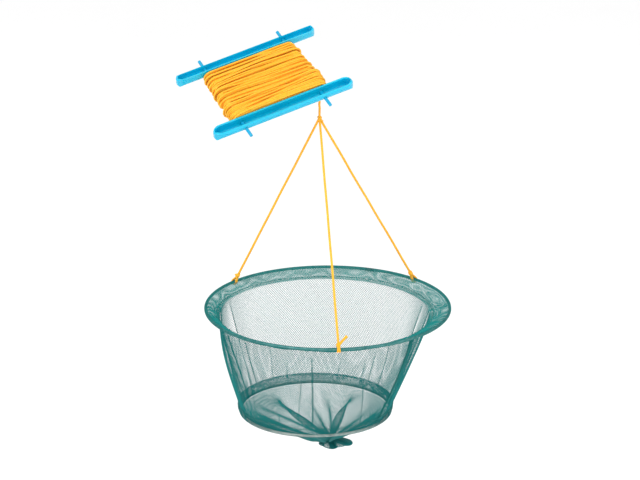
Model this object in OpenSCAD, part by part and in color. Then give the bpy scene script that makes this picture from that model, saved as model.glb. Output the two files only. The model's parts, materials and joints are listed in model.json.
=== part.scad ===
// Folding crab trap: a netting basket hung from two wire hoops, three bridle cords that meet
// in a knot, and a hand winder that holds the rest of the line.
// Millimetres, +Z up, origin at the centre of the knot where the three bridles meet.

/* [Basket] */
// Outside diameter of the rim hoop
rim_d = 300; // [260:5:360]
// Outside diameter of the bottom hoop
base_d = 187; // [150:2:200]
// Height from the bottom hoop up to the rim hoop
basket_depth = 132; // [100:1:180]
// Diameter of the wire both hoops are bent from
wire_d = 3.2; // [2.4:0.1:3.6]
// How far the bottom hoop hangs to the left of the rim hoop
base_shift = 15; // [0:1:25]
// How far the collar of netting runs inward from the rim hoop
collar_w = 19; // [12:1:26]
// How far the collar falls towards its inner edge
collar_fall = 7.5; // [4:0.5:12]
// Height of the hem above the bottom hoop
hem_h = 10; // [7:0.5:16]
// How far the base netting sags below the bottom hoop
base_sag = 38; // [24:1:60]

/* [Suspension] */
// Height of the bridle knot above the rim hoop
bridle_drop = 241; // [180:5:320]
// How far the rim hoop hangs to the right of the knot
rim_shift = 10; // [0:1:20]
// Diameter of the cord
cord_d = 2.4; // [2:0.1:3]
// Length of line between the winder and the knot
lead_len = 26; // [16:1:60]
// Angle round the rim of the right lashing, from +X towards +Y
right_at = 43.5; // [35:0.5:60]
// Angle round the rim of the left lashing
left_at = 141; // [120:1:150]
// Angle round the rim of the front lashing
front_at = 275; // [260:1:285]

/* [Winder] */
// Length of each rail
rail_len = 186; // [160:1:230]
// Width of each rail
rail_w = 14; // [12:0.5:18]
// Wall thickness of the rails
rail_wall = 1.8; // [1.6:0.1:2.6]
// Height of a rail's inner wall above the crossbars
inner_wall_h = 8.5; // [6:0.5:12]
// Height of a rail's outer wall above the crossbars
outer_wall_h = 3.2; // [3:0.1:6]
// Depth of a rail below the crossbars
keel_depth = 5; // [4.5:0.5:7]
// Distance between the inner faces of the two rails
rail_gap = 88; // [70:1:110]
// Distance between the two crossbars
bar_gap = 105; // [90:1:130]
// Diameter of the crossbars between the rails
bar_d = 4.5; // [4.2:0.1:5]
// Diameter of the free ends of the crossbars
peg_d = 4; // [3:0.1:4.1]
// How far the crossbars stand out of the rails
peg_len = 13.5; // [6:0.5:20]
// Thickness of the wound line over a crossbar's axis
winding_r = 10.4; // [6:0.2:13]

/* [Hidden] */
$fn = 96;

gap = 0.1;                 // clearance between neighbouring soft pieces
over = 1;                  // how far cutting shapes run past the faces they cut
weld = 0.1;                // overlap where two shapes join into one solid
snug = 0.02;               // clearance of a pressed or crimped fit
cord_r = cord_d / 2;
wire_r = wire_d / 2;
thread_r = 0.35;           // sewing thread
net_t = 0.6;               // thickness a single layer of netting takes up
cone_reach = 1.6;          // how far a cone runs on above its upper circle
hem_t = 0.8;               // thickness of folded netting
sleeve_gap = 0.9;          // between a hoop's wire and the netting folded round it
sleeve_t = 0.5;

rim_r = rim_d / 2 - wire_r;         // centre line of the rim wire
base_r = base_d / 2 - wire_r;       // centre line of the bottom wire
sleeve_in = wire_r + sleeve_gap;    // inside radius of the netting sleeve round a wire
sleeve_out = sleeve_in + sleeve_t;
rim_at = [rim_shift, 0, -bridle_drop];
base_at = [rim_shift - base_shift, 0, -bridle_drop - basket_depth];
neck_r = rim_r - collar_w;          // inner edge of the collar

knot_r = 3;
wrap_r = sleeve_out + cord_r + gap; // centre line of a lashing turn round the rim
lashing_r = 2.5;                    // the barrel of turns above the rim
lashing_from = 3.6;                 // along the bridle, from the wire's centre
lashing_to = 14;
front_lashing_to = 8;               // the front lashing is tied close to the rim
tail_len = 17;                      // loose end of the front lashing
short_tail_len = 4;
ferrule_t = 0.4;
ferrule_r = wire_r + ferrule_t;
ferrule_at = 69;                    // angle round the rim
ferrule_span = 4.4;                 // degrees of the rim the ferrule covers
seam_at = -34;                      // angle round the wall of the side seam
seam_r = 0.8;
seam_off = 0.9;                     // how far the seam stands off the wall's outside
seam_end = 2;                       // how far the seam stops short of the wall's edges

// The wall of netting runs between these two circles.
neck_drop = 1.4;                    // from the collar's inner edge down to the wall
foot_lift = 0.6;                    // from the hem's top up to the wall
hem_lean = 2.6;                     // how far the hem's top stands out beyond the wire's centre line
wall_top = [rim_at.x, 0, rim_at.z - collar_fall - neck_drop];
wall_foot = [base_at.x, 0, base_at.z + hem_h + foot_lift];
wall_top_r = neck_r;
wall_foot_r = base_r + hem_lean;
wall_h = wall_top.z - wall_foot.z;

// The gathered bunch of netting under the base.
gather_at = [19, 0];                // from the bottom hoop's centre
gather_drop = 0.8;                  // below the lowest point of the base netting
gather_top = -base_sag - gather_drop;
gather_neck_r = 5;
gather_r = 9;
gather_h = 11;
gather_flare_h = 7;                 // height of the part that widens below the tie
gather_taper = 0.5;
tie_r = 0.8;
tie_drop = 0.6;                     // from the top of the bunch down to the tie

bar_r = bar_d / 2;
winding_side_gap = 0.5;             // between the winding and each rail
winding_len = rail_gap - 2 * winding_side_gap;
winding_in = bar_r + gap / 2;
bar_half = rail_gap / 2 + rail_w;   // from the winder's centre to a rail's outer face
prow = 11;                          // length over which a rail's end narrows
prow_cut = 1;                       // the very tip of the prow is blunt
winder_turns = [25, -14, 23.4];     // how the winder is held: lean, tilt and heading
line_exit_drop = 3.6;               // from the underside of the winding to the line's end
// Where the line leaves the winding: along a rail, across, and below the crossbars.
line_exit = [53, -40, -winding_r - line_exit_drop];

// ---- placing ----

module on_rim() {
    translate(rim_at) children();
}

module on_base() {
    translate(base_at) children();
}

// The winder's own frame: X along the rails, Y towards the rear rail, Z out of its open side.
module on_winder() {
    translate([0, 0, lead_len]) rotate(winder_turns) translate(-line_exit) children();
}

// Turns +Z to point along v.
module along(v) {
    rotate([0, acos(v.z / norm(v)), atan2(v.y, v.x)]) children();
}

// Centre of the rim wire at an angle, in the part's frame.
function rim_point(angle) = rim_at + [rim_r * cos(angle), rim_r * sin(angle), 0];

// ---- hoops ----

module ring(centre_r, section_r) {
    rotate_extrude() translate([centre_r, 0]) circle(section_r);
}

module top_hoop() {
    color("silver") on_rim() ring(rim_r, wire_r);
}

module bottom_hoop() {
    color("silver") on_base() ring(base_r, wire_r);
}

// Crimped tube that joins the two ends of the rim wire.
module top_hoop_ferrule() {
    color("gray") on_rim()
        rotate([0, 0, ferrule_at - ferrule_span / 2])
        rotate_extrude(angle = ferrule_span)
        translate([rim_r, 0])
        difference() {
            circle(ferrule_r);
            circle(wire_r + snug);
        }
}

// ---- netting ----

module sleeve_section(centre_r) {
    translate([centre_r, 0]) difference() {
        circle(sleeve_out);
        circle(sleeve_in);
    }
}

// Double netting folded over the rim wire and sloping in to the neck of the basket.
module rim_collar() {
    color("teal") on_rim() rotate_extrude() {
        sleeve_section(rim_r);
        polygon([
            [rim_r - sleeve_in + weld, -hem_t],
            [rim_r - sleeve_in + weld, 0],
            [neck_r, -collar_fall + hem_t / 2],
            [neck_r, -collar_fall - hem_t / 2]
        ]);
    }
}

// Row of sewing thread on top of the collar, just outside its inner edge.
module collar_stitching() {
    seam_in = 3;
    slope = (collar_fall - hem_t / 2) / (collar_w - sleeve_in);
    lift = thread_r + gap + hem_t / 2;
    color("darkslategray") on_rim()
        translate([0, 0, -collar_fall + seam_in * slope + lift])
        ring(neck_r + seam_in, thread_r);
}

// A solid cone that passes through two level circles, which may have different centres. The
// upper circle is the larger one, and inset moves the cone's surface inwards.
module oblique_cone(top, top_r, foot, foot_r, inset) {
    height = top.z - foot.z;
    slant = (top.x - foot.x) / height;
    spread = (top_r - foot_r) / height;
    steep = atan(slant + spread);
    shallow = atan(slant - spread);
    lean = (steep + shallow) / 2;
    half_angle = (steep - shallow) / 2;
    below = foot_r / spread;
    apex = foot - [slant * below, 0, below];
    reach = (below + height) * cone_reach;
    lift = inset / sin(half_angle);
    translate(apex) rotate([0, lean, 0])
        translate([0, 0, lift]) cylinder(h = reach, r1 = 0, r2 = reach * tan(half_angle));
}

// A sheet of netting between two level circles.
module net_cone(top, top_r, foot, foot_r) {
    slab = rim_d;
    intersection() {
        difference() {
            oblique_cone(top, top_r, foot, foot_r, 0);
            oblique_cone(top, top_r, foot, foot_r, net_t);
        }
        translate([-slab, -slab, foot.z]) cube([2 * slab, 2 * slab, top.z - foot.z]);
    }
}

module net_wall() {
    color("mediumaquamarine") net_cone(wall_top, wall_top_r, wall_foot, wall_foot_r);
}

// Where the two edges of the netting are sewn together, on the outside of the wall.
module side_seam() {
    out = seam_r + seam_off;
    way = [cos(seam_at), sin(seam_at), 0];
    top = wall_top + (wall_top_r + out) * way - [0, 0, seam_end];
    foot = wall_foot + (wall_foot_r + out) * way + [0, 0, seam_end];
    color("darkslategray") translate(foot) along(top - foot)
        cylinder(h = norm(top - foot), r = seam_r);
}

// Netting folded round the bottom wire and standing up as a band.
module bottom_hem() {
    start_r = base_r + 0.4;
    color("teal") on_base() rotate_extrude() {
        sleeve_section(base_r);
        polygon([
            [start_r, sleeve_in + weld],
            [start_r + hem_t, sleeve_in + weld],
            [wall_foot_r + hem_t / 2, hem_h],
            [wall_foot_r - hem_t / 2, hem_h]
        ]);
    }
}

module hem_stitching() {
    below_edge = 1.5;
    color("darkslategray") on_base()
        translate([0, 0, hem_h - below_edge])
        ring(wall_foot_r + hem_t / 2 + thread_r + gap, thread_r);
}

// Netting that sags from the bottom hoop to the bunch.
module base_net() {
    edge_in = 2.4;             // how far inside the wire's centre line the netting starts
    edge = [0, 0, -sleeve_out - gap];
    bunch = [gather_at.x, gather_at.y, -base_sag];
    color("mediumaquamarine") on_base()
        net_cone(edge, base_r - edge_in, bunch, gather_neck_r);
}

// The bunch of netting below the tie.
module base_gather() {
    color("teal") on_base() translate([gather_at.x, gather_at.y, gather_top - gather_h]) {
        cylinder(h = gather_h, r1 = gather_neck_r - gather_taper, r2 = gather_neck_r);
        cylinder(h = gather_flare_h, r1 = gather_r, r2 = gather_neck_r);
    }
}

// Thin cord that closes the netting at the bottom.
module base_tie() {
    color("darkslategray") on_base()
        translate([gather_at.x, gather_at.y, gather_top - tie_r - tie_drop])
        ring(gather_neck_r + tie_r + gap, tie_r);
}

// ---- cords ----

// The line leaves the winding just below its underside and runs straight down.
module lead_line() {
    foot = knot_r + gap;
    color("orange") translate([0, 0, foot]) cylinder(h = lead_len - foot - gap, r = cord_r);
}

module bridle_knot() {
    color("darkorange") sphere(knot_r);
}

// A bridle ends where its lashing starts, at knot_to from the rim.
module bridle(angle, knot_to) {
    span = rim_point(angle);
    start = knot_r + gap;
    color("orange") along(span)
        translate([0, 0, start])
        cylinder(h = norm(span) - knot_to - gap - start, r = cord_r);
}

module rounded_rod(length, radius) {
    translate([0, 0, radius]) cylinder(h = length - 2 * radius, r = radius);
    translate([0, 0, radius]) sphere(radius);
    translate([0, 0, length - radius]) sphere(radius);
}

// Two turns round the rim, a barrel of turns along the bridle, and a loose end.
module hoop_lashing(angle, knot_to, tail, tail_way) {
    turn_off = 0.95 * cord_r;  // the two turns press into each other a little
    barrel = knot_to - lashing_from;
    barrel_r = min(lashing_r, 0.488 * barrel);  // always less than half its length
    color("darkorange") translate(rim_point(angle)) {
        for (side = [-1, 1])
            rotate([0, 0, angle]) translate([0, side * turn_off, 0])
                rotate([90, 0, 0]) ring(wrap_r, cord_r);
        along(-rim_point(angle)) translate([0, 0, lashing_from])
            rounded_rod(barrel, barrel_r);
        translate([0, 0, wrap_r]) along(tail_way) rounded_rod(tail, cord_r);
    }
}

// ---- winder ----

// Outline of a rail seen from above: straight sides and a prow at each end.
module rail_plan(inset) {
    prow_r = (prow * prow + rail_w * rail_w / 4) / rail_w;
    straight = rail_len / 2 - prow;
    square([2 * straight + snug, rail_w - 2 * inset], center = true);
    for (end = [-1, 1])
        intersection() {
            translate([end * straight, prow_r - rail_w / 2]) circle(prow_r - inset);
            translate([end * straight, rail_w / 2 - prow_r]) circle(prow_r - inset);
            translate([end * (straight + (prow - prow_cut - inset) / 2), 0])
                square([prow - prow_cut - inset, rail_w], center = true);
        }
}

// Outline of a rail seen from the side, with round ends. The hollow of a rail is open at the top.
module rail_side(inset, top, is_hollow) {
    end_r = (inner_wall_h + keel_depth) / 2;
    end_z = inner_wall_h - end_r;
    half = rail_len / 2 - end_r;
    for (end = [-1, 1])
        translate([end * half, end_z]) circle(end_r - inset);
    translate([-half, inset - keel_depth]) square([2 * half, keel_depth + top - inset]);
    if (is_hollow)
        translate([inset - rail_len / 2, end_z]) square([rail_len - 2 * inset, top - end_z]);
}

// Cross-section of a rail: round underneath, open above, its inner wall at +X.
module rail_section(inset, inner_top, outer_top) {
    half = rail_w / 2 - inset;
    round_z = rail_w / 2 - keel_depth;
    translate([0, round_z]) circle(half);
    polygon([[half, round_z], [half, inner_top], [-half, outer_top], [-half, round_z]]);
}

module rail_shape(inset, inner_top, outer_top, is_hollow) {
    top = max(inner_top, outer_top);
    intersection() {
        rotate([90, 0, 90])
            linear_extrude(rail_len, center = true) rail_section(inset, inner_top, outer_top);
        translate([0, 0, -rail_w])
            linear_extrude(rail_w + top + over) rail_plan(inset);
        rotate([90, 0, 0])
            linear_extrude(rail_w + 2 * over, center = true)
            rail_side(inset, top + over, is_hollow);
    }
}

// One trough-shaped rail, in the place of the front rail.
module rail() {
    open_top = inner_wall_h + 4 * over;
    translate([0, -rail_gap / 2 - rail_w / 2, 0]) difference() {
        rail_shape(0, inner_wall_h, outer_wall_h, false);
        rail_shape(rail_wall, open_top, open_top, true);
        for (side = [-1, 1])
            translate([side * bar_gap / 2, 0, 0]) rotate([90, 0, 0])
                cylinder(h = rail_w + 2 * over, r = bar_r + snug, center = true);
    }
}

module rail_front() {
    color("deepskyblue") on_winder() rail();
}

module rail_rear() {
    color("deepskyblue") on_winder() mirror([0, 1, 0]) rail();
}

// A round bar through both rails, stepped down to a peg at each end.
module crossbar(side) {
    tip = 0.6;
    color("dodgerblue") on_winder() translate([side * bar_gap / 2, 0, 0]) rotate([90, 0, 0]) {
        cylinder(h = 2 * bar_half, r = bar_r, center = true);
        for (end = [-1, 1])
            mirror([0, 0, end < 0 ? 1 : 0]) {
                translate([0, 0, bar_half - over]) cylinder(h = peg_len + over - tip, r = peg_d / 2);
                translate([0, 0, bar_half + peg_len - tip])
                    cylinder(h = tip, r1 = peg_d / 2, r2 = peg_d / 2 - tip);
            }
    }
}

module race_track(radius) {
    for (side = [-1, 1])
        translate([side * bar_gap / 2, 0]) circle(radius);
    square([bar_gap, 2 * radius], center = true);
}

// The line wound round both crossbars, as one closed band.
module wound_line() {
    color("orange") on_winder() rotate([90, 0, 0])
        linear_extrude(winding_len, center = true)
        difference() {
            race_track(winding_r);
            race_track(winding_in);
        }
}

rail_front();
rail_rear();
crossbar(-1);  // crossbar_left
crossbar(1);  // crossbar_right
wound_line();
lead_line();
bridle_knot();
bridle(left_at, lashing_to);  // bridle_left
bridle(right_at, lashing_to);  // bridle_right
bridle(front_at, front_lashing_to);  // bridle_front
hoop_lashing(left_at, lashing_to, short_tail_len, [-1, 0, 0.4]);  // hoop_lashing_left
hoop_lashing(right_at, lashing_to, short_tail_len, [1, 0, 0.2]);  // hoop_lashing_right
hoop_lashing(front_at, front_lashing_to, tail_len, [0.55, -0.3, 0.8]);  // hoop_lashing_front
top_hoop();
top_hoop_ferrule();
rim_collar();
collar_stitching();
net_wall();
side_seam();
bottom_hoop();
bottom_hem();
hem_stitching();
base_net();
base_gather();
base_tie();
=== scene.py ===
"""Folding crab trap: netting, cords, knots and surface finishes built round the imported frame.

Metres, +Z up, origin at the knot where the three bridles meet, as in the frame.
"""

import json
import math

import bpy
import numpy as np
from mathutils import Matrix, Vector


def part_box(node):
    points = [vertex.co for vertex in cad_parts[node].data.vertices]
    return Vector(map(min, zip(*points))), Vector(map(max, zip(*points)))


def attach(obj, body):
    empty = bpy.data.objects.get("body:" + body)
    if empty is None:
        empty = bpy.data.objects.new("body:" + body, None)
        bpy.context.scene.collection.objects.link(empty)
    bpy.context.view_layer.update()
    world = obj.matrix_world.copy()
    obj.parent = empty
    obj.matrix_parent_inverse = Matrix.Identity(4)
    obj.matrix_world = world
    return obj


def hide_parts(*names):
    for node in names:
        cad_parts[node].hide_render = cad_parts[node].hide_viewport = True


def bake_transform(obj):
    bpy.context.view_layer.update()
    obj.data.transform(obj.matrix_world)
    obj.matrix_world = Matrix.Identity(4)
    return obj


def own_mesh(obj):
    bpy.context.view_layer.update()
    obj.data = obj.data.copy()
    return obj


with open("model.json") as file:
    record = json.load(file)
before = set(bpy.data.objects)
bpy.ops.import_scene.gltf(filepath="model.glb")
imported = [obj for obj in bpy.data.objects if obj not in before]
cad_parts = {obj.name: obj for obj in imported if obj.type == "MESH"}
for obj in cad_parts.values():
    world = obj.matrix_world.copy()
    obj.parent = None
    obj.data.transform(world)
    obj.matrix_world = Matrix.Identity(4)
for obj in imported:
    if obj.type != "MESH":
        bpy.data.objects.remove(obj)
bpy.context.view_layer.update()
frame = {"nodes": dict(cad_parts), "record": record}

MM = 0.001
TURN = 2 * math.pi
UP = np.array([0.0, 0.0, 1.0])


# ---- sizes read from the frame ----

def hoop_size(node):
    """Centre of a hoop, radius of its wire's centre line, and the wire's own radius."""
    low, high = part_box(node)
    wire = (high.z - low.z) / 2
    return np.array((low + high) / 2), (high.x - low.x) / 2 - wire, wire


def mount_point(name):
    return next(np.array(m["pos_m"]) for m in frame["record"]["mounts"] if m["name"] == name)


def unit(v):
    return v / np.linalg.norm(v, axis=-1, keepdims=True)


RIM, RIM_R, WIRE_R = hoop_size("top_hoop")
BASE, BASE_R, _ = hoop_size("bottom_hoop")
WALL_LOW, WALL_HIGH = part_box("net_wall")
NECK_R = WALL_HIGH.y
NECK_SHIFT = -4 * MM                  # the neck hangs a little to the left of the rim
HEM_LEAN = 2.6 * MM                   # the hem's top stands out beyond the bottom wire
FOOT_R = BASE_R + HEM_LEAN
GATHER_LOW, GATHER_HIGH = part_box("base_gather")
GATHER = np.array([(GATHER_LOW.x + GATHER_HIGH.x) / 2, 0, GATHER_HIGH.z])
CORD_R = 1.2 * MM
KNOT_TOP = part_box("lead_line")[1].z


# ---- meshes made from tubes ----

def build_mesh(name, verts, quads, tris, uvs):
    """A smooth-shaded mesh from arrays of corners, with one UV map."""
    mesh = bpy.data.meshes.new(name)
    mesh.vertices.add(len(verts))
    mesh.vertices.foreach_set("co", verts.astype(np.float32).ravel())
    corners = np.concatenate([quads.ravel(), tris.ravel()]).astype(np.int32)
    mesh.loops.add(len(corners))
    mesh.loops.foreach_set("vertex_index", corners)
    starts = np.concatenate([np.arange(len(quads)) * 4, 4 * len(quads) + np.arange(len(tris)) * 3])
    mesh.polygons.add(len(starts))
    mesh.polygons.foreach_set("loop_start", starts.astype(np.int32))
    mesh.polygons.foreach_set("use_smooth", np.ones(len(starts), bool))
    layer = mesh.uv_layers.new(name="along")
    layer.uv.foreach_set("vector", uvs.astype(np.float32).ravel())
    mesh.update(calc_edges=True)
    mesh.validate()
    return mesh


def tangents(paths, closed):
    if closed:
        return unit(np.roll(paths, -1, axis=1) - np.roll(paths, 1, axis=1))
    return unit(np.gradient(paths, axis=1))


def carried_across(path, closed):
    """A direction at right angles to one path that turns as little as it can along it."""
    way = tangents(path[None], closed)[0]
    across = np.empty_like(path)
    start = np.cross(way[0], UP)
    if np.linalg.norm(start) < 0.1:
        start = np.cross(way[0], [1.0, 0.0, 0.0])
    across[0] = unit(start)
    for i in range(1, len(path)):
        kept = across[i - 1] - way[i] * (across[i - 1] @ way[i])
        across[i] = unit(kept)
    return across


def tube(paths, radius, sides, across=None, closed=False, relief=None):
    """Tubes along paths, an array (tubes, points, 3): corners, quads, end triangles and UVs.

    U is the length along the tube in tube diameters and V goes once round it.
    """
    paths = np.atleast_3d(np.asarray(paths, float))
    if paths.shape[-1] != 3:
        paths = paths.reshape(1, -1, 3)
    if across is None:
        across = np.stack([carried_across(path, closed) for path in paths])
    count, points = paths.shape[:2]
    way = tangents(paths, closed)
    across = np.broadcast_to(across, paths.shape)
    across = unit(across - way * np.sum(across * way, axis=-1, keepdims=True))
    third = np.cross(way, across)
    angle = np.arange(sides) * TURN / sides
    steps = np.linalg.norm(np.diff(paths, axis=1, append=paths[:, :1]), axis=-1)
    length = np.concatenate([np.zeros((count, 1)), np.cumsum(steps, axis=1)], axis=1)
    radius = np.broadcast_to(np.asarray(radius, float), (count, points))[..., None]
    if relief is not None:
        radius = radius * relief(length[:, :points, None], angle[None, None])
    round_it = (np.cos(angle)[:, None] * across[:, :, None]
                + np.sin(angle)[:, None] * third[:, :, None])
    verts = paths[:, :, None] + radius[..., None] * round_it

    rings = points if closed else points - 1
    t, i, j = np.meshgrid(np.arange(count), np.arange(rings), np.arange(sides), indexing="ij")
    after = (i + 1) % points
    beside = (j + 1) % sides

    def corner(ring, side):
        return (t * points + ring) * sides + side

    corners = [corner(i, j), corner(i, beside), corner(after, beside), corner(after, j)]
    quads = np.stack(corners, axis=-1)
    scale = 1 / (2 * float(np.mean(radius)))
    u0 = length[t, i] * scale
    u1 = length[t, i + 1] * scale
    v0 = j / sides
    v1 = (j + 1) / sides
    uvs = np.stack([u0, v0, u0, v1, u1, v1, u1, v0], axis=-1)

    verts = verts.reshape(-1, 3)
    tris = np.zeros((0, 3), int)
    tri_uvs = np.zeros((0, 6))
    if not closed:
        middles = np.concatenate([paths[:, 0], paths[:, -1]])
        first = len(verts) + np.arange(count)
        last = first + count
        verts = np.concatenate([verts, middles])
        t2, j2 = np.meshgrid(np.arange(count), np.arange(sides), indexing="ij")
        near = t2 * points * sides + j2
        near_beside = t2 * points * sides + (j2 + 1) % sides
        far = near + (points - 1) * sides
        far_beside = near_beside + (points - 1) * sides
        caps = [np.stack([first[t2], near_beside, near], axis=-1).reshape(-1, 3),
                np.stack([last[t2], far, far_beside], axis=-1).reshape(-1, 3)]
        tris = np.concatenate(caps)
        tri_uvs = np.tile([0, 0.5, 0, 0, 0, 1.0], (len(tris), 1))
    return verts, quads.reshape(-1, 4), tris, np.concatenate([uvs.ravel(), tri_uvs.ravel()])


def joined(name, parts):
    """One mesh from several tube() results."""
    offset = 0
    verts, quads, tris, quad_uvs, tri_uvs = [], [], [], [], []
    for part_verts, part_quads, part_tris, part_uvs in parts:
        verts.append(part_verts)
        quads.append(part_quads + offset)
        tris.append(part_tris + offset)
        split = part_quads.size * 2
        quad_uvs.append(part_uvs[:split])
        tri_uvs.append(part_uvs[split:])
        offset += len(part_verts)
    uvs = np.concatenate(quad_uvs + tri_uvs)
    return build_mesh(name, np.concatenate(verts), np.concatenate(quads), np.concatenate(tris), uvs)


BRAID_STRANDS = 4                     # in each of the two directions
BRAID_PER_METRE = 480.0
BRAID_DEPTH = 0.07                    # as a share of the cord's radius
BRAID_MEAN = 0.4                      # of the higher of the two waves, so that the size is kept


def braid_relief(length, angle):
    """Two sets of cord strands that cross: the cord's outline swells where one passes over."""
    way = TURN * BRAID_PER_METRE * length
    right = np.sin(way + BRAID_STRANDS * angle)
    left = np.sin(way - BRAID_STRANDS * angle)
    return 1 + BRAID_DEPTH * (np.maximum(right, left) - BRAID_MEAN)


def make_piece(name, mesh, look, nodes, body=None):
    """A visible piece that stands for CAD nodes, which it hides; it is attached to body when one is
    given.
    """
    piece = bpy.data.objects.new(name, mesh)
    bpy.context.scene.collection.objects.link(piece)
    mesh.materials.append(look)
    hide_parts(*nodes)
    if body:
        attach(piece, body)
    return piece


# ---- finishes ----

class Finish:
    """A node-based material, with short calls to add and join its nodes."""

    def __init__(self, name):
        self.material = bpy.data.materials.new(name)
        self.material.use_nodes = True
        self.tree = self.material.node_tree
        self.shader = self.tree.nodes["Principled BSDF"]

    def put(self, socket, value):
        if isinstance(value, bpy.types.NodeSocket):
            self.tree.links.new(value, socket)
        else:
            socket.default_value = value

    def node(self, kind, inputs, **settings):
        made = self.tree.nodes.new(kind)
        for key, value in settings.items():
            setattr(made, key, value)
        for key, value in inputs.items():
            self.put(made.inputs[key], value)
        return made

    def sums(self, operation, a, b=0.0):
        return self.node("ShaderNodeMath", {0: a, 1: b}, operation=operation).outputs[0]

    def mix(self, factor, a, b):
        made = self.node("ShaderNodeMix", {0: factor}, data_type="RGBA")
        self.put(made.inputs[6], a)
        self.put(made.inputs[7], b)
        return made.outputs[2]

    def ranged(self, value, low, high, to_low, to_high):
        inputs = {0: value, 1: low, 2: high, 3: to_low, 4: to_high}
        return self.node("ShaderNodeMapRange", inputs).outputs[0]

    def noise(self, scale, detail=3.0, stretch=(1, 1, 1)):
        place = self.node("ShaderNodeTexCoord", {}).outputs["Object"]
        mapped = self.node("ShaderNodeMapping", {"Vector": place, "Scale": stretch})
        inputs = {"Vector": mapped.outputs[0], "Scale": scale, "Detail": detail}
        return self.node("ShaderNodeTexNoise", inputs).outputs["Fac"]

    def along(self):
        """Length along a tube in diameters, and turns round it."""
        uv = self.node("ShaderNodeUVMap", {}, uv_map="along").outputs[0]
        split = self.node("ShaderNodeSeparateXYZ", {0: uv})
        return split.outputs[0], split.outputs[1]

    def helix(self, per_diameter, strands):
        length, turn = self.along()
        phase = self.sums("ADD", self.sums("MULTIPLY", length, per_diameter),
                          self.sums("MULTIPLY", turn, strands))
        return self.sums("SINE", self.sums("MULTIPLY", phase, TURN))

    def bump(self, height, strength, distance, normal=None):
        inputs = {"Height": height, "Strength": strength, "Distance": distance}
        if normal is not None:
            inputs["Normal"] = normal
        return self.node("ShaderNodeBump", inputs).outputs[0]

    def finish(self, **inputs):
        for key, value in inputs.items():
            self.put(self.shader.inputs[key.replace("_", " ")], value)
        return self.material


def rgb(red, green, blue):
    return (red, green, blue, 1.0)


def cord_finish():
    """Braided golden-orange cord: crossing strands, painted shade of a deeper orange in the gaps
    between them, and fine fibres.
    """
    f = Finish("braided_cord")
    braid = f.sums("MAXIMUM", f.helix(1.15, 4), f.helix(1.15, -4))
    fibres = f.helix(0.35, 26)
    patches = f.noise(160, 4)
    gold = f.mix(patches, rgb(0.92, 0.43, 0.016), rgb(0.98, 0.57, 0.055))
    # painted shade: the gaps between the braid's strands are coloured a deeper orange
    gap_shade = f.ranged(braid, -0.3, 0.5, 0.0, 1.0)
    colour = f.mix(gap_shade, rgb(0.86, 0.30, 0.006), gold)
    height = f.sums("ADD", braid, f.sums("MULTIPLY", fibres, 0.12))
    return f.finish(Base_Color=colour,
                    Roughness=f.ranged(patches, 0.2, 0.8, 0.5, 0.7),
                    Specular_IOR_Level=0.3,
                    Normal=f.bump(height, 0.4, 0.1 * MM),
                    Subsurface_Weight=0.3,
                    Subsurface_Radius=(1.0, 0.5, 0.1),
                    Subsurface_Scale=1.2 * MM)


def net_finish(name, dark, light):
    """Twisted nylon strand, with a painted highlight of paler teal along the ridge of its twist."""
    f = Finish(name)
    twist = f.helix(0.5, 2)
    patches = f.noise(55, 4)
    base = f.mix(f.ranged(patches, 0.3, 0.7, 0.0, 1.0), dark, light)
    # painted highlight: a paler teal along the ridge of the twist
    colour = f.mix(f.ranged(twist, -1, 1, 0.0, 0.3), base, rgb(0.03, 0.26, 0.25))
    return f.finish(Base_Color=colour,
                    Roughness=f.ranged(patches, 0.2, 0.8, 0.45, 0.65),
                    Specular_IOR_Level=0.12,
                    Normal=f.bump(twist, 0.4, 0.05 * MM))


def thread_finish():
    """Dark teal sewing thread with its twist, and a painted highlight of paler teal along the
    twist's ridge.
    """
    f = Finish("sewing_thread")
    twist = f.helix(0.7, 3)
    patches = f.noise(300, 3)
    colour = f.mix(patches, rgb(0.006, 0.115, 0.110), rgb(0.02, 0.22, 0.20))
    # painted highlight: a paler teal along the ridge of the twist
    twist_highlighted = f.mix(f.ranged(twist, -1, 1, 0.0, 0.4), colour, rgb(0.05, 0.30, 0.28))
    return f.finish(Base_Color=twist_highlighted,
                    Roughness=f.ranged(patches, 0.2, 0.8, 0.5, 0.7),
                    Specular_IOR_Level=0.15,
                    Normal=f.bump(twist, 0.5, 0.08 * MM))


def plastic_finish(name, dark, light):
    """Moulded blue plastic that lets some light in: soft edges, flow marks and handling marks."""
    f = Finish(name)
    flow = f.noise(26, 4, (1, 1, 0.4))
    grain = f.noise(1400, 2)
    marks = f.noise(420, 5, (1, 6, 1))
    edges = f.node("ShaderNodeBevel", {"Radius": 0.7 * MM}, samples=6).outputs[0]
    rough = f.sums("ADD", f.ranged(flow, 0.3, 0.7, 0.16, 0.26),
                   f.ranged(marks, 0.62, 0.8, 0.0, 0.16))
    return f.finish(Base_Color=f.mix(f.ranged(flow, 0.3, 0.7, 0.0, 1.0), dark, light),
                    Roughness=rough,
                    Normal=f.bump(grain, 0.05, 0.03 * MM, edges),
                    Coat_Weight=0.1,
                    Coat_Roughness=0.12,
                    Subsurface_Weight=0.45,
                    Subsurface_Radius=(0.3, 1.0, 1.3),
                    Subsurface_Scale=4 * MM)


def wire_finish(name, dark, light, dull):
    """Coated steel wire: a crystal pattern from dark to light, and dull worn patches."""
    f = Finish(name)
    place = f.node("ShaderNodeTexCoord", {}).outputs["Object"]
    crystals = f.node("ShaderNodeTexVoronoi", {"Vector": place, "Scale": 420}).outputs["Color"]
    tone = f.node("ShaderNodeSeparateColor", {0: crystals}).outputs[0]
    wear = f.noise(90, 5)
    coat = f.mix(tone, dark, light)
    colour = f.mix(f.ranged(wear, 0.55, 0.75, 0.0, 0.7), coat, dull)
    return f.finish(Base_Color=colour,
                    Metallic=0.7,
                    Roughness=f.ranged(wear, 0.3, 0.75, 0.32, 0.62),
                    Normal=f.bump(f.noise(700, 3), 0.25, 0.05 * MM))


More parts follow.
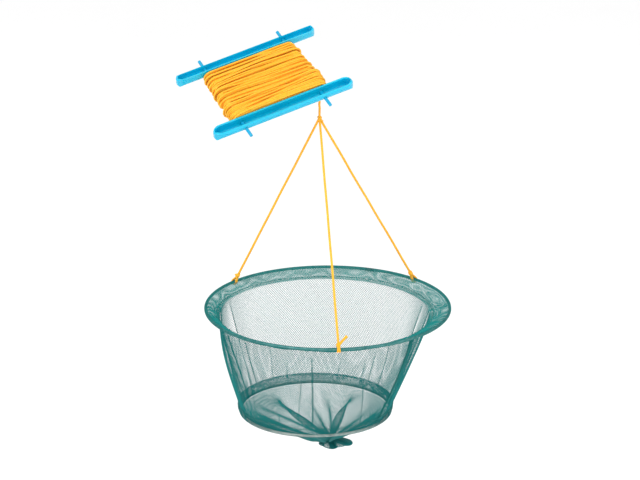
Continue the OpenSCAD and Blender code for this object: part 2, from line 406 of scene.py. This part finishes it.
def ferrule_finish():
    """Dull crimped steel sleeve with darker pits."""
    f = Finish("crimped_sleeve")
    pits = f.noise(500, 5)
    dents = f.noise(190, 2)
    pitted = f.ranged(pits, 0.4, 0.7, 0.0, 1.0)
    colour = f.mix(pitted, rgb(0.10, 0.11, 0.11), rgb(0.03, 0.035, 0.035))
    return f.finish(Base_Color=colour,
                    Metallic=0.7,
                    Roughness=f.ranged(pits, 0.3, 0.7, 0.4, 0.75),
                    Normal=f.bump(f.sums("ADD", dents, pits), 0.5, 0.2 * MM))


CORD = cord_finish()
# One netting strand in three tones: the collar gets a lighter copy (painted light), and the hem and
# tuft get a darker copy (painted shade).
NET = net_finish("net_strand", rgb(0.004, 0.155, 0.155), rgb(0.010, 0.205, 0.200))
NET_LIT_COPY = net_finish("net_strand_painted_light", rgb(0.003, 0.250, 0.240), rgb(0.008, 0.330, 0.310))
NET_SHADED_COPY = net_finish("net_strand_painted_shade", rgb(0.003, 0.130, 0.135), rgb(0.007, 0.180, 0.182))
THREAD = thread_finish()
RAIL_BLUE = plastic_finish("rail_plastic", rgb(0.000, 0.415, 0.610), rgb(0.002, 0.485, 0.690))
BAR_BLUE = plastic_finish("bar_plastic", rgb(0.000, 0.300, 0.500), rgb(0.002, 0.360, 0.580))
BRIGHT_WIRE = wire_finish("bright_wire", rgb(0.46, 0.47, 0.44), rgb(0.70, 0.71, 0.67),
                          rgb(0.22, 0.24, 0.23))
TEAL_WIRE = wire_finish("teal_wire", rgb(0.050, 0.170, 0.165), rgb(0.140, 0.310, 0.300),
                        rgb(0.03, 0.09, 0.09))
FERRULE = ferrule_finish()


# ---- netting ----

STRANDS = 564                         # zig-zag strands round the basket, two for each cell
STRAND_R = 0.21 * MM
WALL_STRAND_R = 0.23 * MM
TOUCH = 0.9                           # how near neighbouring strands come where they are knitted
ROW = 1.6 * MM                        # half the height of a cell
CLOSE_ROW = 1.1 * MM                  # the same where netting is gathered over a wire
CLOSE_R = 0.26 * MM                   # radius of a strand there


def laid_strands(surface, rows, first=0, last=STRANDS, sides=3, radius=STRAND_R):
    """Zig-zag strands on surface(angle, v), knitted to each neighbour in turn."""
    strand = np.arange(first, last)[:, None]
    row = np.arange(rows + 1)[None]
    swing = np.where((strand + row) % 2 == 1, TOUCH / 2, -TOUCH / 2)
    angle = (strand + 0.5 + swing) * TURN / STRANDS
    v = row / rows + 0.0 * strand
    little = 1e-4
    sideways = surface(angle + little, v) - surface(angle - little, v)
    onward = surface(angle, np.minimum(v + little, 1)) - surface(angle, np.maximum(v - little, 0))
    return tube(surface(angle, v), radius, sides, across=np.cross(sideways, onward))


def round_place(centre_x, radius, angle, height):
    return np.stack([centre_x + radius * np.cos(angle), radius * np.sin(angle),
                     height + 0.0 * angle], axis=-1)


def ramp(value, start, end):
    t = np.clip((value - start) / (end - start), 0, 1)
    return t * t * (3 - 2 * t)


def ripple(angle, waves, seed):
    """A smooth uneven wave round a circle, about -1 to 1."""
    rng = np.random.default_rng(seed)
    total = 0.0
    for wave in waves:
        total = total + np.sin(wave * angle + rng.uniform(0, TURN)) / math.sqrt(len(waves))
    return total


class Fold:
    """A crease in the wall: it runs from one angle at the neck to another at the foot."""

    def __init__(self, top, foot, start, end, width=3.0, pull=1.5, depth=2.5):
        self.top, self.foot = math.radians(top), math.radians(foot)
        self.start, self.end = start, end
        self.width, self.pull = math.radians(width), pull
        self.depth = depth * MM

    def apply(self, angle, v):
        """The angle drawn towards the crease, and how far the netting sinks in there."""
        middle = self.top + (self.foot - self.top) * v
        off = (angle - middle + math.pi) % TURN - math.pi
        fade = 0.12  # of the wall's height, over which the crease dies away
        strength = ramp(v, self.start - fade, self.start + fade)
        strength = strength * (1 - ramp(v, self.end - fade, self.end + fade))
        near = strength / (1 + (off / self.width) ** 2) ** 2
        return angle - off * self.pull * near, self.depth * near


SEAM_ANGLE = -34


def wall_folds():
    """Creases that show plainly, then short random ones where the netting narrows to the hem."""
    folds = [
        Fold(192, 213, 0.0, 0.90, width=3.0, pull=1.6),
        Fold(203, 219, 0.0, 0.85, width=4.0, pull=1.8),
        Fold(221, 231, 0.0, 0.60, width=2.2),
        Fold(218, 222, 0.3, 0.80, width=2.0),
        Fold(239, 243, 0.0, 0.45, width=1.8, pull=1.2),
        Fold(263, 268, 0.15, 1.0, width=2.8, pull=1.9),
        Fold(259, 257, 0.45, 0.9, width=2.0, pull=1.3),
        Fold(289, 305, 0.40, 1.0, width=2.2, pull=1.3),
        Fold(299, 300, 0.15, 0.45, width=1.6, pull=1.2),
        Fold(307, 310, 0.0, 0.60, width=2.0, pull=1.3),
        Fold(SEAM_ANGLE + 6, SEAM_ANGLE + 5, 0.0, 1.0, width=3.4, pull=1.9),
        Fold(SEAM_ANGLE, SEAM_ANGLE, -0.2, 1.2, width=6.0, pull=2.3, depth=1.0),
        Fold(156, 147, 0.10, 0.50, width=2.0),
        Fold(19, 18, 0.10, 0.40, width=2.0),
        Fold(5, 2, 0.0, 0.7, width=2.6, pull=1.8),
        Fold(172, 178, 0.0, 0.8, width=2.4, pull=1.4),
    ]
    rng = np.random.default_rng(11)
    short_ones = 12
    for place in range(short_ones):
        at = (place + rng.uniform(0.1, 0.9)) * 360 / short_ones
        start = rng.uniform(0.85, 0.97)
        folds.append(Fold(at, at + rng.uniform(-3, 3), start, 1.3,
                          width=rng.uniform(1.6, 2.8), pull=rng.uniform(0.8, 1.2), depth=0.8))
    return folds


FOLDS = wall_folds()
LONG_FOLDS = 16                       # the named ones come first, and only they draw the collar in
BULGE = 3.5 * MM                      # how far the wall swells out half-way down


def wall_surface(angle, v):
    """The tapering wall: v is 0 at the neck and 1 at the top of the hem."""
    sink = 0.0
    for fold in FOLDS:
        angle, more = fold.apply(angle, v)
        sink = sink + more
    free = np.sin(math.pi * v ** 0.7)
    wave = 1.4 * MM * ripple(angle + 0.25 * v, (3, 5, 8, 13), 21) * free
    radius = NECK_R + (FOOT_R - NECK_R) * v + BULGE * free + wave - sink * (0.3 + 0.7 * free)
    centre_x = RIM[0] + NECK_SHIFT + (BASE[0] - RIM[0] - NECK_SHIFT) * v
    return round_place(centre_x, radius, angle, WALL_HIGH.z + (WALL_LOW.z - WALL_HIGH.z) * v)


def loop_round(wire, edge, side, wrap, straight, v, puff):
    """A point on a loop that leaves edge, passes round a wire and comes back to edge.

    side is at right angles to the way from wire to edge, wrap is the loop's radius round the
    wire, straight is the share of v for each straight run and puff is how far those runs bulge.
    """
    way = edge - wire
    reach = np.linalg.norm(way, axis=-1, keepdims=True)
    way = way / reach
    lean = np.arccos(wrap / reach)
    turned = np.clip((v - straight) / (1 - 2 * straight), 0, 1)
    turn = lean + (TURN - 2 * lean) * turned
    bend = wire + wrap * (np.cos(turn) * way + np.sin(turn) * side)
    run = np.clip(np.minimum(v, 1 - v) / straight, 0, 1)
    above = np.where(v < 0.5, 1.0, -1.0)
    swell = puff * np.sin(math.pi * run) * above
    return np.where(run < 1, edge + (bend - edge) * run + swell * side, bend)


SLEEVE_R = WIRE_R + 0.35 * MM         # middle of the netting where it wraps a wire
SLACK_ANGLE = math.radians(32)        # where the collar is baggy


def collar_surface(angle, v):
    """Netting folded over the rim wire, from the neck over the wire and back underneath."""
    sink = 0.0
    edge_angle = angle
    for fold in FOLDS[:LONG_FOLDS]:
        edge_angle, more = fold.apply(edge_angle, 0.0 * angle)
        sink = sink + more
    blend = np.clip(np.minimum(v, 1 - v) / 0.25, 0, 1)
    edge_angle = edge_angle + (angle - edge_angle) * blend
    wire = round_place(RIM[0], RIM_R, edge_angle, RIM[2])
    edge = round_place(RIM[0] + NECK_SHIFT, NECK_R - 0.3 * sink, edge_angle, WALL_HIGH.z)
    tangent = np.stack([-np.sin(edge_angle), np.cos(edge_angle), 0 * angle], axis=-1)
    side = unit(np.cross(edge - wire, tangent))
    side = side * np.where(side[..., 2:] < 0, -1.0, 1.0)
    slack_at = ramp(np.cos(edge_angle - SLACK_ANGLE), 0.82, 0.97)
    puff = (0.8 + 0.4 * ripple(edge_angle, (7, 11, 17, 29), 5) + 1.6 * slack_at) * MM
    return loop_round(wire, edge, side, SLEEVE_R, 0.42, v[..., None], puff[..., None])


def hem_surface(angle, v):
    """The band at the foot of the wall, folded round the bottom wire."""
    edge_angle = angle
    for fold in FOLDS:
        edge_angle, _ = fold.apply(edge_angle, 0.0 * angle + 1)
    blend = ramp(np.minimum(v, 1 - v), 0.0, 0.35)
    edge_angle = edge_angle + (angle - edge_angle) * blend
    wire = round_place(BASE[0], BASE_R, edge_angle, BASE[2])
    edge = round_place(BASE[0], FOOT_R, edge_angle, WALL_LOW.z)
    side = np.stack([np.cos(edge_angle), np.sin(edge_angle), 0 * angle], axis=-1)
    way = unit(edge - wire)
    side = unit(side - way * np.sum(side * way, axis=-1, keepdims=True))
    puff = (0.7 + 0.5 * ripple(edge_angle, (9, 16, 31, 44), 8)) * MM
    return loop_round(wire, edge, side, SLEEVE_R, 0.38, v[..., None], puff[..., None])


GATHER_NECK = 4.5 * MM                # outside of the bunch where it is tied
BOWL_EDGE_IN = 1.8 * MM               # the base starts this far inside the bottom wire
BOWL_POWER = 1.08                     # 1 would be a straight cone from the hoop to the bunch


def drawn_aside(angle, pleats):
    """How far strands are drawn sideways into pleats: (pleats round, share, start) of each set."""
    return sum(share * np.sin(count * angle + start) / count for count, share, start in pleats)


BASE_PLEATS = [(5, 0.8, 4.0), (9, 0.95, 0.8), (14, 0.9, 2.2), (23, 0.5, 1.1)]
BASE_DRAW = 1.45                      # over 1 the netting folds back on itself
TUFT_PLEATS = [(7, 1.0, 1.0), (12, 0.8, 0.0)]
TUFT_DRAW = 1.1


def packed(angle):
    """Radius at the tie: the strands fill the whole of the bunch, not only its outside."""
    return GATHER_NECK * (0.53 + 0.47 * np.cos(23 * angle))


POUCH_ANGLE = math.radians(-120)      # where the base hangs lowest beside the bunch
POUCH_SAG = 9.5 * MM
POUCH_WIDTH = 0.95                    # radians to each side
FLAT_FRONT = 0.25                     # how much more level the base is there, next to the hoop


def bowl_surface(angle, v):
    """The sagging base: v is 0 at the bottom wire and 1 at the tie, with pleats between."""
    spread = angle + BASE_DRAW * ramp(v, 0.0, 0.85) * drawn_aside(angle, BASE_PLEATS)
    ridge = np.cos(9 * angle + 0.8) + 0.7 * np.cos(14 * angle + 2.2)
    out = 1 - v
    top = BASE[2] - SLEEVE_R
    centre_x = BASE[0] + (GATHER[0] - BASE[0]) * v ** 1.1
    bunched = packed(angle)
    radius = bunched + (BASE_R - BOWL_EDGE_IN - bunched) * out
    level = FLAT_FRONT * np.clip(np.cos(angle - POUCH_ANGLE), 0, 1)
    height = top + (GATHER[2] - top) * (1 - out ** (BOWL_POWER - level))
    height = height + 0.9 * MM * ridge * ramp(v, 0.05, 0.5) * out
    from_pouch = (spread - POUCH_ANGLE + math.pi) % TURN - math.pi
    sag = POUCH_SAG * np.exp(-(from_pouch / POUCH_WIDTH) ** 2)
    height = height - sag * ramp(v, 0.2, 0.75) * ramp(out, 0.0, 0.3)
    return round_place(centre_x, radius, spread, height)


def tuft_surface(angle, v):
    """The bunch below the tie, flaring in uneven pleats and leaning to the right."""
    spread = angle + TUFT_DRAW * ramp(v, 0, 0.6) * drawn_aside(angle, TUFT_PLEATS)
    loosened = ramp(v, 0.0, 0.25)
    neck = packed(angle) * (1 - loosened) + GATHER_NECK * loosened
    edge = (14.5 + 1.6 * np.cos(7 * angle + 1) + 1.5 * np.cos(3 * angle)) * MM
    flare = neck + edge * ramp(v, -0.1, 0.9)
    drop = (GATHER_HIGH.z - GATHER_LOW.z) * (0.58 + 0.08 * np.cos(5 * angle + 2))
    lean = 5.0 * MM * v ** 1.5
    return round_place(GATHER[0] + lean, flare, spread, GATHER[2] - drop * v)


def net_mesh(name, surface, length, row=ROW, **options):
    return joined(name, [laid_strands(surface, round(length / row), **options)])


def close_net(name, surface, length, thickest, more):
    """Doubled netting whose strands bunch most on the side at angle thickest."""
    angle = np.arange(STRANDS)[:, None] * TURN / STRANDS
    radius = CLOSE_R * (1 + more * np.cos(angle - math.radians(thickest)))
    return net_mesh(name, surface, length, row=CLOSE_ROW, radius=radius)


def build_netting():
    """Every piece of netting; the wall is two pieces."""
    half = STRANDS // 2
    slant = math.hypot(WALL_HIGH.z - WALL_LOW.z, NECK_R - FOOT_R)
    for name, first in (("net_wall_back", 0), ("net_wall_front", half)):
        mesh = net_mesh(name, wall_surface, slant, first=first, last=first + half, sides=4,
                        radius=WALL_STRAND_R)
        make_piece(name, mesh, NET, ["net_wall"], "rim")
    round_wire = 8 * MM
    collar_length = 2 * (RIM_R - NECK_R) + round_wire
    collar = close_net("collar_net", collar_surface, collar_length, thickest=105, more=0.24)
    make_piece("collar_net", collar, NET_LIT_COPY, ["rim_collar"], "rim")
    hem_length = 2 * (WALL_LOW.z - BASE[2]) + round_wire
    hem = close_net("hem_net", hem_surface, hem_length, thickest=85, more=0.38)
    make_piece("hem_net", hem, NET_SHADED_COPY, ["bottom_hem"], "base")
    bowl = net_mesh("bowl_net", bowl_surface, 92 * MM)
    make_piece("bowl_net", bowl, NET, ["base_net"], "base")
    tuft = net_mesh("tuft_net", tuft_surface, 15 * MM, radius=CLOSE_R)
    make_piece("tuft_net", tuft, NET_SHADED_COPY, ["base_gather"], "base")


# ---- sewing thread ----

THREAD_R = 0.32 * MM


def stitched_ring(middle, across, stitches, swing, lift, seed):
    """A zig-zag row of stitches round a closed line: middle(angle) and across(angle) place it."""
    steps = 6
    count = stitches * steps
    angle = np.arange(count) * TURN / count
    rng = np.random.default_rng(seed)
    phase = np.arange(count) * TURN / (2 * steps)
    sway = swing * np.sin(phase) * np.repeat(rng.uniform(0.6, 1.1, stitches), steps)
    rise = lift * np.abs(np.cos(phase))
    side, top = across(angle)
    return middle(angle) + sway[:, None] * side + rise[:, None] * top


def collar_thread():
    def middle(angle):
        over = collar_surface(angle, np.full(angle.shape, 0.07))
        return over + np.array([0, 0, 0.3 * MM])

    def across(angle):
        way = np.stack([np.cos(angle), np.sin(angle), 0 * angle], axis=-1)
        return way, UP[None]

    path = stitched_ring(middle, across, stitches=330, swing=1.05 * MM, lift=0.3 * MM, seed=31)
    mesh = joined("collar_thread", [tube(path, THREAD_R, 5, closed=True)])
    make_piece("collar_thread", mesh, THREAD, ["collar_stitching"], "rim")


def hem_thread():
    def middle(angle):
        way = np.stack([np.cos(angle), np.sin(angle), 0 * angle], axis=-1)
        return hem_surface(angle, np.full(angle.shape, 0.06)) + 0.35 * MM * way

    def across(angle):
        way = np.stack([np.cos(angle), np.sin(angle), 0 * angle], axis=-1)
        return UP[None], way

    path = stitched_ring(middle, across, stitches=240, swing=0.7 * MM, lift=0.25 * MM, seed=32)
    mesh = joined("hem_thread", [tube(path, THREAD_R, 5, closed=True)])
    make_piece("hem_thread", mesh, THREAD, ["hem_stitching"], "base")


def resampled(points, old_at, new_at):
    return np.stack([np.interp(new_at, old_at, points[:, axis]) for axis in range(3)], axis=-1)


def round_line(line, first, second, radius, phase):
    """A helix round a line, with first and second at right angles to it at each point."""
    return line + radius * (np.cos(phase)[:, None] * first + np.sin(phase)[:, None] * second)


def seam_thread():
    """The sewn edges down the wall: three strands twisted together, with a thread wound round."""
    points = 190
    v = np.linspace(0.01, 0.99, points)
    angle = np.full(v.shape, math.radians(SEAM_ANGLE))
    outward = np.stack([np.cos(angle), np.sin(angle), 0 * v], axis=-1)
    line = wall_surface(angle, v) + 1.1 * MM * outward
    along = tangents(line[None], False)[0]
    first = unit(np.cross(along, UP))
    second = np.cross(along, first)
    parts = []
    for strand in range(3):
        twist = TURN * (strand / 3 + 11 * v)
        parts.append(tube(round_line(line, first, second, 0.5 * MM, twist), 0.45 * MM, 6))
    fine_v = np.linspace(0.01, 0.99, points * 4)
    fine = [resampled(values, v, fine_v) for values in (line, first, second)]
    winds = TURN * 38 * np.linspace(0, 1, points * 4)
    parts.append(tube(round_line(*fine, 1.05 * MM, winds), 0.2 * MM, 5))
    make_piece("seam_thread", joined("seam_thread", parts), THREAD, ["side_seam"], "rim")


def base_tie():
    """Thin cord wound twice round the bunch, with two short ends."""
    tie_r = 0.8 * MM
    height = GATHER[2] - 1.6 * MM
    s = np.linspace(0, 1, 90)
    angle = TURN * (2.1 * s - 0.3)
    climb = (s - 0.5) * 2.2 * tie_r
    path = round_place(GATHER[0], GATHER_NECK + tie_r * 1.1, angle, height + climb)
    parts = [tube(path, tie_r, 8)]
    for end, way in ((path[0], (0.3, -1, -0.9)), (path[-1], (0.8, -0.7, -0.5))):
        t = np.linspace(0, 1, 14)[:, None]
        tail = end + t * 7 * MM * unit(np.array(way)) - UP * (t ** 2) * 1.5 * MM
        parts.append(tube(tail, tie_r, 8))
    make_piece("tie_thread", joined("tie_thread", parts), THREAD, ["base_tie"], "base")


# ---- cords ----

def bridle_end(node):
    """Centre of the end of a CAD bridle that is farther from the knot."""
    mesh = frame["nodes"][node].data
    co = np.empty(len(mesh.vertices) * 3, np.float32)
    mesh.vertices.foreach_get("co", co)
    co = co.reshape(-1, 3).astype(float)
    far = co[np.linalg.norm(co, axis=1) > np.linalg.norm(co, axis=1).max() - 1.0 * MM]
    return far.mean(axis=0)


TAUT_R = 1.38 * MM                    # the lead line and bridles, a little fluffed up


def straight_cord(start, end, step=0.5 * MM, waver=0.12 * MM, seed=1):
    """A taut cord with a slight unevenness along it."""
    count = max(8, round(np.linalg.norm(end - start) / step))
    t = np.linspace(0, 1, count)
    path = start + (end - start) * t[:, None]
    rng = np.random.default_rng(seed)
    side = unit(np.cross(end - start, [0.3, 0.9, 0.1]))
    other = unit(np.cross(end - start, side))
    for way in (side, other):
        for wave in (3, 7):
            bend = np.sin(wave * math.pi * t + rng.uniform(0, TURN)) * np.sin(math.pi * t)
            path = path + waver * bend[:, None] * way
    return tube(path, TAUT_R, 16, relief=braid_relief)


def build_suspension():
    knot = np.zeros(3)
    top = np.array([0, 0, KNOT_TOP])
    lead = joined("lead_cord", [straight_cord(top + UP * MM, knot, seed=2)])
    piece = make_piece("lead_cord", lead, CORD, ["lead_line"])
    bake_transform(piece)
    for seed, side in enumerate(("left", "right", "front")):
        end = bridle_end("bridle_" + side)
        way = unit(end)
        begin = way * 1.5 * MM
        name = "bridle_cord_" + side
        mesh = joined(name, [straight_cord(begin, end + way * 2.5 * MM, seed=10 + seed)])
        piece = make_piece(name, mesh, CORD, ["bridle_" + side])
        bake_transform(piece)


def knot_curve(size, points=90):
    """The closed curve of an overhand knot, as a trefoil."""
    t = np.arange(points) * TURN / points
    x = np.sin(t) + 2 * np.sin(2 * t)
    y = np.cos(t) - 2 * np.cos(2 * t)
    z = -1.4 * np.sin(3 * t)
    return np.stack([x, y, z], axis=-1) * size / 3


def turned(points, along):
    """Points turned so that their Z axis lies along a direction."""
    along = unit(np.asarray(along, float))
    helper = np.array([0.0, 1.0, 0.0]) if abs(along[1]) < 0.9 else np.array([1.0, 0.0, 0.0])
    first = unit(np.cross(helper, along))
    second = np.cross(along, first)
    return points @ np.stack([first, second, along])


def short_tail(start, way, length, droop, radius=CORD_R):
    t = np.linspace(0, 1, 24)[:, None]
    path = start + t * length * unit(np.asarray(way, float)) - UP * droop * t ** 2
    swell = radius * (1 + 0.25 * ramp(t[:, 0], 0.75, 1.0))
    return tube(path, swell[None], 12, relief=braid_relief)


def bridle_knot():
    curve = turned(knot_curve(1.9 * MM), (0.25, -0.5, 1))
    parts = [tube(curve, CORD_R, 12, closed=True, relief=braid_relief)]
    parts.append(short_tail(np.array([0.5, -0.8, -0.5]) * MM, (0.8, -0.2, -0.9), 5.0 * MM, 0.0))
    make_piece("knot_cord", joined("knot_cord", parts), CORD, ["bridle_knot"], "knot")


def rim_lashing(side, knot_at, turns_off, tail_way, tail_length, tail_r):
    """A doubled loop round the rim, a knot above it and a loose tail."""
    end = bridle_end("bridle_" + side)
    flat = end[:2] - RIM[:2]
    outward = np.append(unit(flat), 0.0)
    wire = RIM + outward * RIM_R
    rise = unit(-wire)
    around = np.cross(outward, UP)
    across = unit(np.cross(around, rise))
    loop_r = 1.05 * MM
    wrap = SLEEVE_R + loop_r - 0.1 * MM
    v = np.linspace(0, 1, 70)[:, None]
    parts = []
    for turn in (-1, 1):
        edge = wire + rise * knot_at + around * turn * 0.4 * turns_off
        centre = wire + around * turn * turns_off
        loop = loop_round(centre, edge, across, wrap, 0.3, v, 0.0)
        parts.append(tube(loop, loop_r, 12, relief=braid_relief))
    s = np.linspace(0, 1, 80)
    phase = TURN * 2.3 * s
    coil_r = 1.55 * MM
    coil_height = 4.6 * MM
    round_it = [coil_r * np.cos(phase), coil_r * np.sin(phase), (s - 0.5) * coil_height]
    coil = turned(np.stack(round_it, axis=-1), rise) + wire + rise * (knot_at + 0.6 * MM)
    parts.append(tube(coil, CORD_R * 0.95, 12, relief=braid_relief))
    parts.append(short_tail(wire + rise * knot_at, tail_way, tail_length, 0.6 * MM, tail_r))
    name = "lashing_cord_" + side
    make_piece(name, joined(name, parts), CORD, ["hoop_lashing_" + side], "rim")


# ---- winder ----

CORNERS = {name: mount_point("peg_" + name)
           for name in ("front_left", "front_right", "rear_left", "rear_right")}
WINDER_AT = sum(CORNERS.values()) / 4
ALONG_RAILS = unit(CORNERS["front_right"] - CORNERS["front_left"])
ACROSS_RAILS = unit(CORNERS["rear_left"] - CORNERS["front_left"])
OPEN_SIDE = np.cross(ALONG_RAILS, ACROSS_RAILS)
BAR_GAP = np.linalg.norm(CORNERS["front_right"] - CORNERS["front_left"])
BAR_R = 2.25 * MM
WOUND_HALF = 43.4 * MM                # half the space between the rails, less a little


def on_winder(x, y, z):
    """From the winder's own axes (along its rails, across them, out of its open side)."""
    return (WINDER_AT + x[..., None] * ALONG_RAILS + y[..., None] * ACROSS_RAILS
            + z[..., None] * OPEN_SIDE)


def loop_stations(straight=14, bend=9):
    """Stations round both crossbars: the bar's place along the rails and the way out from it."""
    half = BAR_GAP / 2
    place, way = [], []
    for side in (1, -1):
        for k in range(straight):
            place.append(side * half * (2 * k / straight - 1))
            way.append(math.pi / 2 * side)
        for k in range(bend):
            place.append(side * half)
            way.append(math.pi / 2 * side - math.pi * k / bend)
    return np.array(place), np.array(way)


WOUND_R = 10.4 * MM                   # mean outside of the winding, from a bar's axis
PITCH = 2.45 * MM                     # from one turn to the next


def lateral_course(t, layer, sways, drift):
    """Where the line lies across the winder after t turns: to and fro, never quite straight."""
    width = WOUND_HALF - CORD_R
    across = (t * PITCH + 0.3 * width) % (4 * width)
    across = 1.04 * (np.abs(across - 2 * width) - width)
    for rate, start, amount in sways:
        across = across + amount * (0.4 + 0.2 * layer) * np.sin(TURN * rate * t + start)
    stray = np.interp(2 * t, np.arange(len(drift)), drift)
    return np.clip(across + 0.3 * MM * layer * stray, -width, width)


def wound_turns(most_turns=210):
    """The line laid turn upon turn: each one rests on the turns that lie under it."""
    rng = np.random.default_rng(4)
    place, way = loop_stations()
    count = len(place)
    sways = [(rate, rng.uniform(0, TURN), 0.5 * MM) for rate in (1.03, 2.02, 0.96)]
    sways += [(rate, rng.uniform(0, TURN), 0.9 * MM) for rate in (0.37, 0.61, 1.43)]
    drift = rng.normal(0, 1, 2 * most_turns + 3)
    nested = 0.8 * 2 * CORD_R             # turns this near each other lie one on the other
    laid_y, laid_r = np.zeros((0, count)), np.zeros((0, count))
    lowest = BAR_R + CORD_R
    left_end = np.clip(-np.cos(way), 0, 1) * (place < -0.4 * BAR_GAP)
    last_layer = 30
    for turn in range(most_turns):
        t = turn + np.arange(count) / count
        across = lateral_course(t, turn * PITCH / (2 * WOUND_HALF), sways, drift)
        off = np.abs(laid_y - across)
        step = 0.95 * np.sqrt(np.clip(nested ** 2 - off ** 2, 0, None))
        rest = np.where(off < nested, laid_r + step, 0)
        height = np.maximum(lowest, rest.max(axis=0, initial=0))
        for _ in range(2):
            height = (np.roll(height, 1) + 2 * height + np.roll(height, -1)) / 4
        laid_y = np.vstack([laid_y, across])
        laid_r = np.vstack([laid_r, height])
        if turn > last_layer and laid_r[-last_layer:].mean() + CORD_R > WOUND_R:
            break
    turns = len(laid_y)
    slack = rng.uniform(-0.2, 1.5, (turns, 1)) * MM * np.linspace(0, 1, turns)[:, None] ** 2
    radius = (laid_r + slack * left_end).ravel()
    kernel = np.array([1, 2, 1]) / 4
    radius[1:-1] = np.convolve(radius, kernel, "valid")
    place, way = np.tile(place, turns), np.tile(way, turns)
    return place + radius * np.cos(way), laid_y.ravel(), radius * np.sin(way)


def winding():
    x, y, z = wound_turns()
    path = on_winder(x, y, z)
    exit_point = np.array([0, 0, KNOT_TOP + 0.6 * MM])
    t = np.linspace(0.1, 1, 24)[:, None]
    lead_in = path[-1] + (exit_point - path[-1]) * ramp(t, 0, 1)
    path = np.concatenate([path, lead_in])
    mesh = joined("wound_cord", [tube(path, CORD_R, 8, across=ACROSS_RAILS)])
    make_piece("wound_cord", mesh, CORD, ["wound_line"], "winder")


# ---- CAD nodes that stay ----

def refinish(node, look):
    """Gives a CAD node its finish; its shape is left alone."""
    materials = frame["nodes"][node].data.materials
    materials.clear()
    materials.append(look)


def finish_nodes():
    for node in ("rail_front", "rail_rear"):
        refinish(node, RAIL_BLUE)
    for node in ("crossbar_left", "crossbar_right"):
        refinish(node, BAR_BLUE)
    refinish("top_hoop", TEAL_WIRE)
    refinish("bottom_hoop", BRIGHT_WIRE)
    refinish("top_hoop_ferrule", FERRULE)


# ---- meshes of their own ----

def fold_wall():
    """The wall's two pieces and its seam each get a copy of their mesh of their own."""
    for name in ("net_wall_back", "net_wall_front", "seam_thread"):
        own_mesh(bpy.data.objects[name])


# ---- studio ----

FLOOR_Z = -0.78                       # clear of the trap with all its line out


def studio():
    """A pale floor well below the trap, a white surround and two large soft lights."""
    size = 30.0
    mesh = bpy.data.meshes.new("floor")
    corners = [(x * size, y * size, FLOOR_Z) for x, y in ((-1, -1), (1, -1), (1, 1), (-1, 1))]
    mesh.from_pydata(corners, [], [(0, 1, 2, 3)])
    floor = bpy.data.objects.new("floor", mesh)
    bpy.context.scene.collection.objects.link(floor)
    f = Finish("floor_paper")
    paper = f.mix(f.noise(3), rgb(0.93, 0.93, 0.93), rgb(0.96, 0.96, 0.96))
    mesh.materials.append(f.finish(Base_Color=paper,
                                   Roughness=0.9,
                                   Emission_Color=rgb(1.0, 1.0, 1.0),
                                   Emission_Strength=0.035))
    world = bpy.data.worlds.new("surround")
    world.use_nodes = True
    world.node_tree.nodes["Background"].inputs[0].default_value = rgb(1.0, 1.0, 1.0)
    world.node_tree.nodes["Background"].inputs[1].default_value = 0.92
    bpy.context.scene.world = world
    soft_light("key_light", place=(-1.6, -2.2, 2.4), size=1.8, power=75)
    soft_light("fill_light", place=(2.2, -1.4, 0.9), size=1.6, power=22)


def soft_light(name, place, size, power):
    light = bpy.data.lights.new(name, "AREA")
    light.energy = power
    light.size = size
    lamp = bpy.data.objects.new(name, light)
    bpy.context.scene.collection.objects.link(lamp)
    lamp.location = place
    aim(lamp, (0.0, 0.0, -0.15))


def aim(thing, target):
    way = Vector(target) - thing.location
    thing.rotation_euler = way.to_track_quat("-Z", "Y").to_euler()


def camera():
    """The catalogue view: straight from the front, looking down a little, from far off."""
    target = (0.6 * MM, 0.0, -154.6 * MM)
    elevation = math.radians(18.87)
    distance = 4.767
    data = bpy.data.cameras.new("view")
    data.lens = 221.5
    data.sensor_width = 36.0
    data.clip_end = 100.0
    made = bpy.data.objects.new("view", data)
    bpy.context.scene.collection.objects.link(made)
    back = distance * math.cos(elevation)
    up = distance * math.sin(elevation)
    made.location = (target[0], -back, target[2] + up)
    aim(made, target)
    bpy.context.scene.camera = made
    bpy.context.scene.view_settings.view_transform = "Standard"


build_netting()
collar_thread()
hem_thread()
seam_thread()
base_tie()
build_suspension()
bridle_knot()
rim_lashing("left", knot_at=10.5 * MM, turns_off=1.25 * MM, tail_way=(-0.7, 0.1, 0.5),
            tail_length=4.0 * MM, tail_r=0.8 * CORD_R)
rim_lashing("right", knot_at=10.5 * MM, turns_off=1.25 * MM, tail_way=(-0.9, 0.1, 0.7),
            tail_length=4.0 * MM, tail_r=0.8 * CORD_R)
rim_lashing("front", knot_at=4.8 * MM, turns_off=0.9 * MM, tail_way=(0.55, -0.3, 0.8),
            tail_length=18.0 * MM, tail_r=1.25 * CORD_R)
winding()
finish_nodes()
fold_wall()
studio()
camera()
